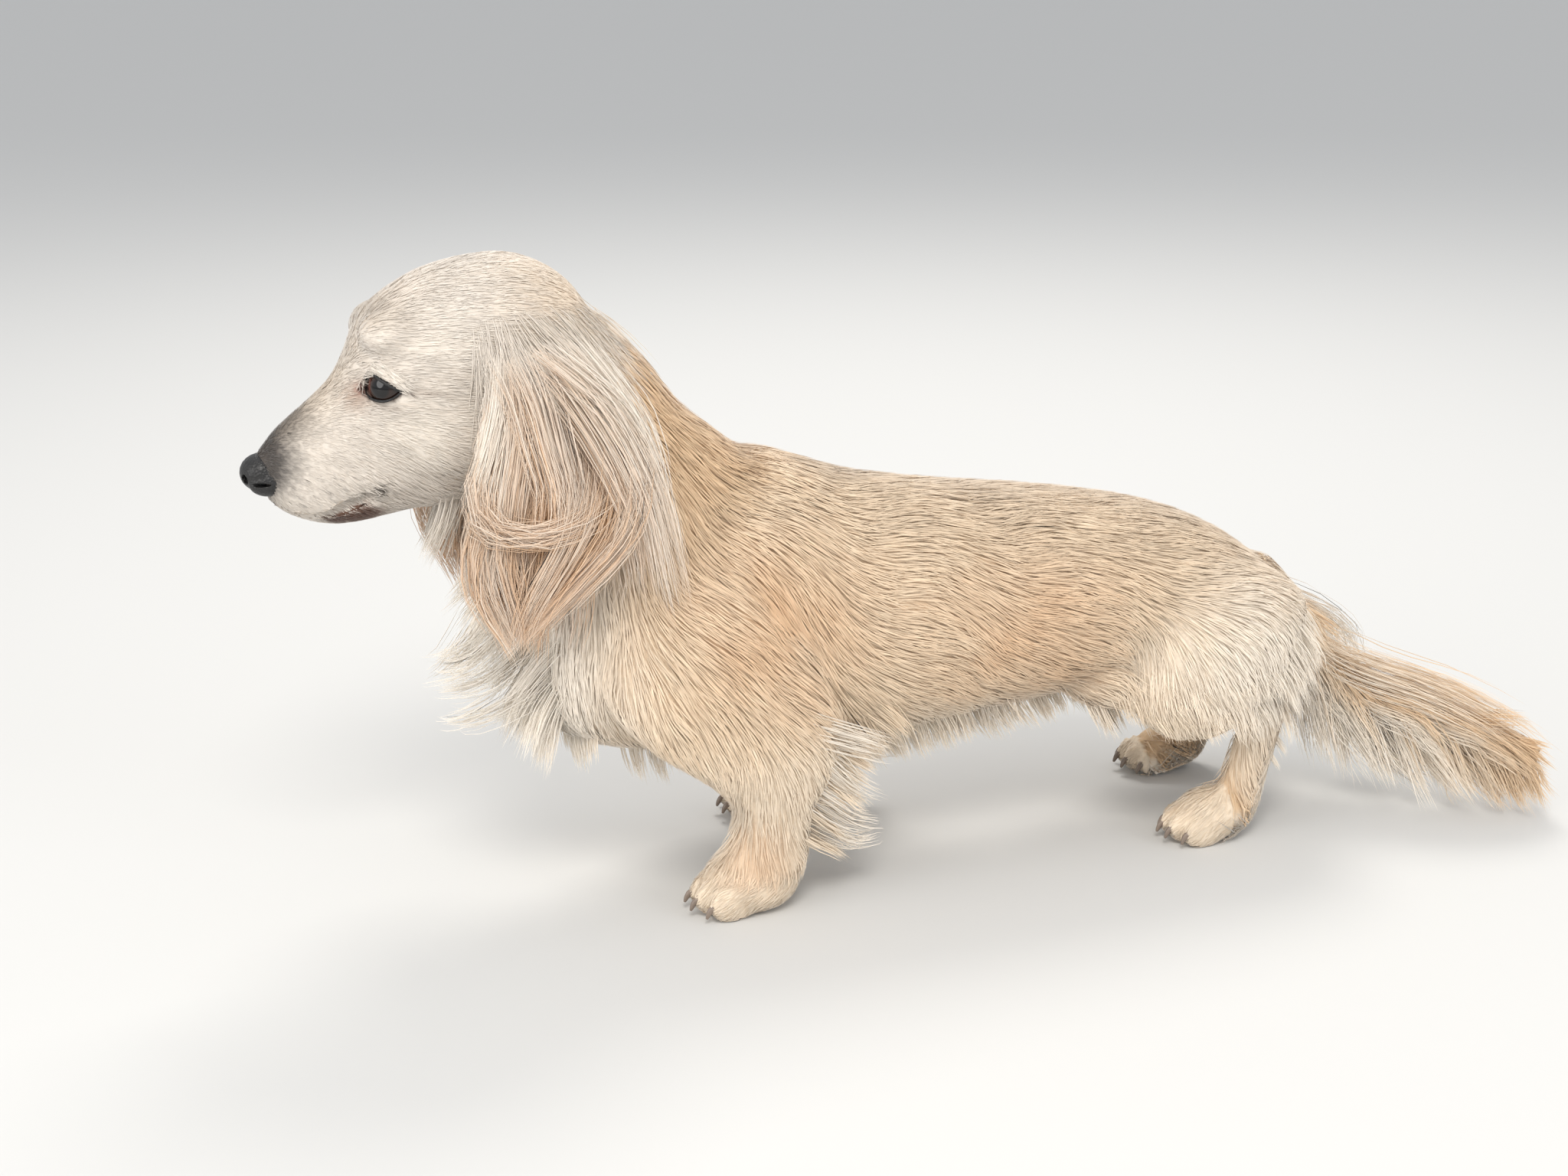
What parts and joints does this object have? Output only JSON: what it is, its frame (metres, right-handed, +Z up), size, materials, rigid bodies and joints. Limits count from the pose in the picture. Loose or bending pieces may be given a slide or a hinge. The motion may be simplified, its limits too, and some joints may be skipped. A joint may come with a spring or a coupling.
{
  "type": "dachshund model",
  "caption": "Life-size still model of a long-haired miniature dachshund, standing with its hindquarters slightly crouched, its ears hanging and its tail turned to its left.",
  "frame": {"origin": "on the floor between the four paws, under the middle of the model's bounding box", "axes": "+Z up, -Y towards the nose, +X towards the dog's left side"},
  "size_m": [0.1532, 0.5946, 0.2795],
  "materials": {
    "body_coat": "long silky coat, matte",
    "ear_coat": "long silky coat, matte",
    "face_coat": "short coat, matte",
    "leg_coat": "feathered coat, matte",
    "nose_skin": "damp, satin",
    "eye": "wet, glossy",
    "claw": "horn, satin"
  },
  "bodies": {
    "root": {"claw_front_left_1": "claw", "claw_front_left_2": "claw", "claw_front_left_3": "claw", "claw_front_left_4": "claw", "claw_front_right_1": "claw", "claw_front_right_2": "claw", "claw_front_right_3": "claw", "claw_front_right_4": "claw", "claw_hind_left_1": "claw", "claw_hind_left_2": "claw", "claw_hind_left_3": "claw", "claw_hind_left_4": "claw", "claw_hind_right_1": "claw", "claw_hind_right_2": "claw", "claw_hind_right_3": "claw", "claw_hind_right_4": "claw", "ear_left": "ear_coat", "ear_right": "ear_coat", "eye_left": "eye", "eye_right": "eye", "foreleg_left": "leg_coat", "foreleg_right": "leg_coat", "head": "face_coat", "hindleg_left": "leg_coat", "hindleg_right": "leg_coat", "neck": "body_coat", "nose": "nose_skin", "paw_front_left": "leg_coat", "paw_front_right": "leg_coat", "paw_hind_left": "leg_coat", "paw_hind_right": "leg_coat", "tail": "body_coat", "torso": "body_coat"}
  },
  "joints": []
}
